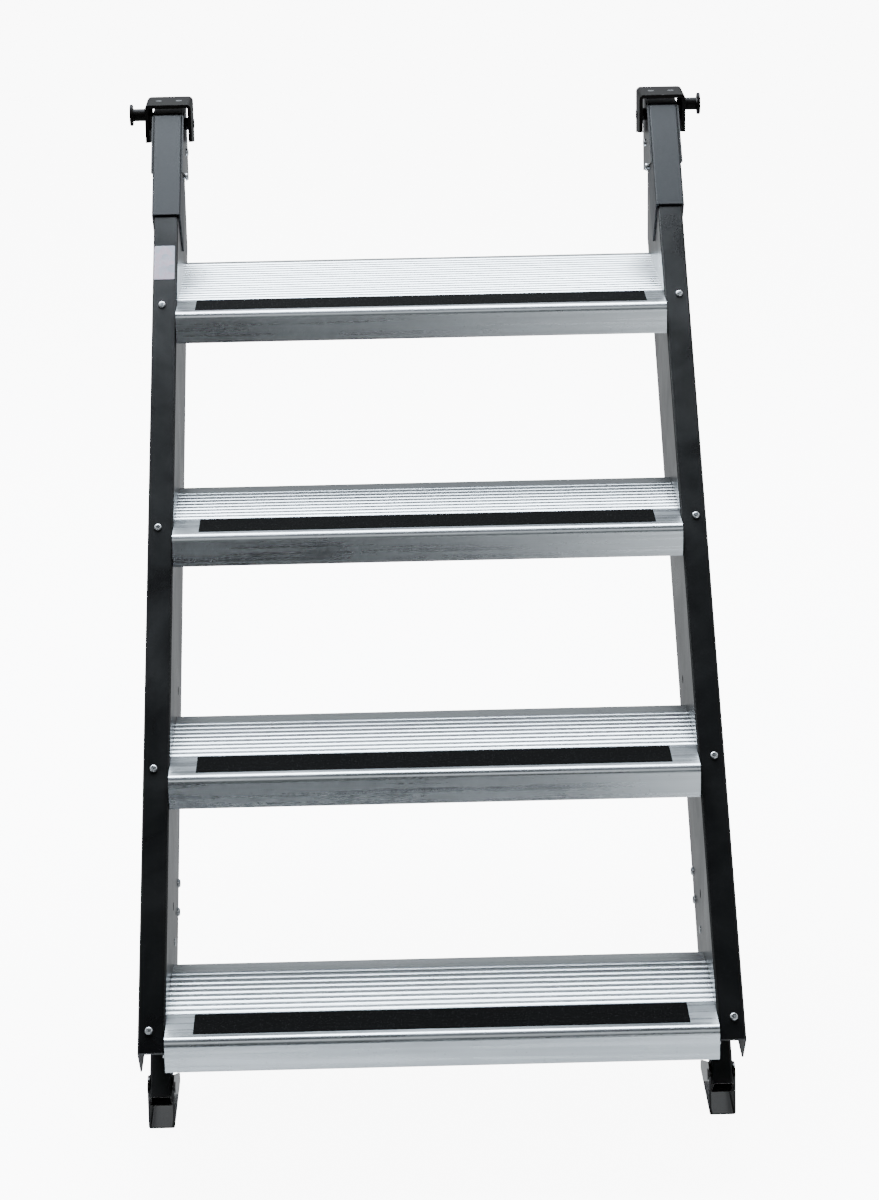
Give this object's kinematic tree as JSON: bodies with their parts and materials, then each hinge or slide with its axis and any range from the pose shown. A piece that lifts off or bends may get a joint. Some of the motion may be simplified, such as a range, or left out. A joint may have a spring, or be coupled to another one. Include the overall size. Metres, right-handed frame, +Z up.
{
  "type": "tailgate step",
  "caption": "Hook-on stair ladder for a tailgate or entry door: aluminium treads with grit tape, black steel stringers, sliding legs with swivel feet, and hanger caps with spool studs.",
  "frame": {"origin": "bottom centre of the box round the whole step: on the ground, midway between the stringers and midway from the lowest nose to the back of the head brackets", "axes": "+X to the climber's right, +Y forwards in the climb towards the vehicle, +Z up"},
  "size_m": [0.743, 1.0844, 1.0137],
  "materials": {
    "black_powder_coat": "satin powder coat",
    "black_cap_paint": "satin black paint",
    "black_leg_paint": "satin black paint, bare cut ends",
    "dark_foot_paint": "gloss dark paint",
    "mill_aluminium": "mill finish with fine die lines",
    "grit_tape": "coarse mineral grit",
    "zinc_steel": "bright zinc plate",
    "black_bolt_steel": "black oxide",
    "black_nylon": "moulded",
    "label_film": "blank silver film"
  },
  "bodies": {
    "frame": {"grip_tape_1": "grit_tape", "grip_tape_2": "grit_tape", "grip_tape_3": "grit_tape", "grip_tape_4": "grit_tape", "label": "label_film", "left_cover": "black_powder_coat", "left_cover_nuts": "zinc_steel", "left_cover_screws": "zinc_steel", "left_head_bolts": "zinc_steel", "left_head_bracket": "black_powder_coat", "left_head_spacers": "zinc_steel", "left_leg_bolts": "zinc_steel", "left_leg_nuts": "black_bolt_steel", "left_pivot_collars": "black_nylon", "left_pivot_pin": "black_bolt_steel", "left_sleeve": "black_powder_coat", "left_stringer": "black_powder_coat", "left_tread_screws": "zinc_steel", "left_web_rivet": "zinc_steel", "right_cover": "black_powder_coat", "right_cover_nuts": "zinc_steel", "right_cover_screws": "zinc_steel", "right_head_bolts": "zinc_steel", "right_head_bracket": "black_powder_coat", "right_head_spacers": "zinc_steel", "right_leg_bolts": "zinc_steel", "right_leg_nuts": "black_bolt_steel", "right_pivot_collars": "black_nylon", "right_pivot_pin": "black_bolt_steel", "right_sleeve": "black_powder_coat", "right_stringer": "black_powder_coat", "right_tread_screws": "zinc_steel", "right_web_rivet": "zinc_steel", "tread_1": "mill_aluminium", "tread_2": "mill_aluminium", "tread_3": "mill_aluminium", "tread_4": "mill_aluminium"},
    "left_hanger": {"left_hanger_cap": "black_cap_paint", "left_hanger_pad": "black_nylon", "left_cap_screws": "zinc_steel", "left_hanger_stud": "black_cap_paint", "left_stud_nut": "black_bolt_steel"},
    "left_leg": {"left_leg": "black_leg_paint", "left_foot_rivet": "black_bolt_steel"},
    "left_foot": {"left_foot": "dark_foot_paint"},
    "right_hanger": {"right_hanger_cap": "black_cap_paint", "right_hanger_pad": "black_nylon", "right_cap_screws": "zinc_steel", "right_hanger_stud": "black_cap_paint", "right_stud_nut": "black_bolt_steel"},
    "right_leg": {"right_leg": "black_leg_paint", "right_foot_rivet": "black_bolt_steel"},
    "right_foot": {"right_foot": "dark_foot_paint"}
  },
  "joints": [
    {"name": "left_leg_slide", "type": "slide", "parent": "frame", "child": "left_leg", "axis": [0, -0.7601, -0.6498], "range_m": [-0.06, 0.12]},
    {"name": "left_foot_tilt", "type": "hinge", "parent": "left_leg", "child": "left_foot", "pos_m": [-0.32045, -0.40407, 0.0425], "axis": [1, 0, 0], "range_deg": [-30, 30]},
    {"name": "left_hanger_pivot", "type": "hinge", "parent": "frame", "child": "left_hanger", "pos_m": [-0.32045, 0.51323, 0.98102], "axis": [1, 0, 0], "range_deg": [-12, 6]},
    {"name": "right_leg_slide", "type": "slide", "parent": "frame", "child": "right_leg", "axis": [0, -0.7601, -0.6498], "range_m": [-0.06, 0.12]},
    {"name": "right_foot_tilt", "type": "hinge", "parent": "right_leg", "child": "right_foot", "pos_m": [0.32045, -0.40407, 0.0425], "axis": [1, 0, 0], "range_deg": [-30, 30]},
    {"name": "right_hanger_pivot", "type": "hinge", "parent": "frame", "child": "right_hanger", "pos_m": [0.32045, 0.51323, 0.98102], "axis": [1, 0, 0], "range_deg": [-12, 6]}
  ]
}
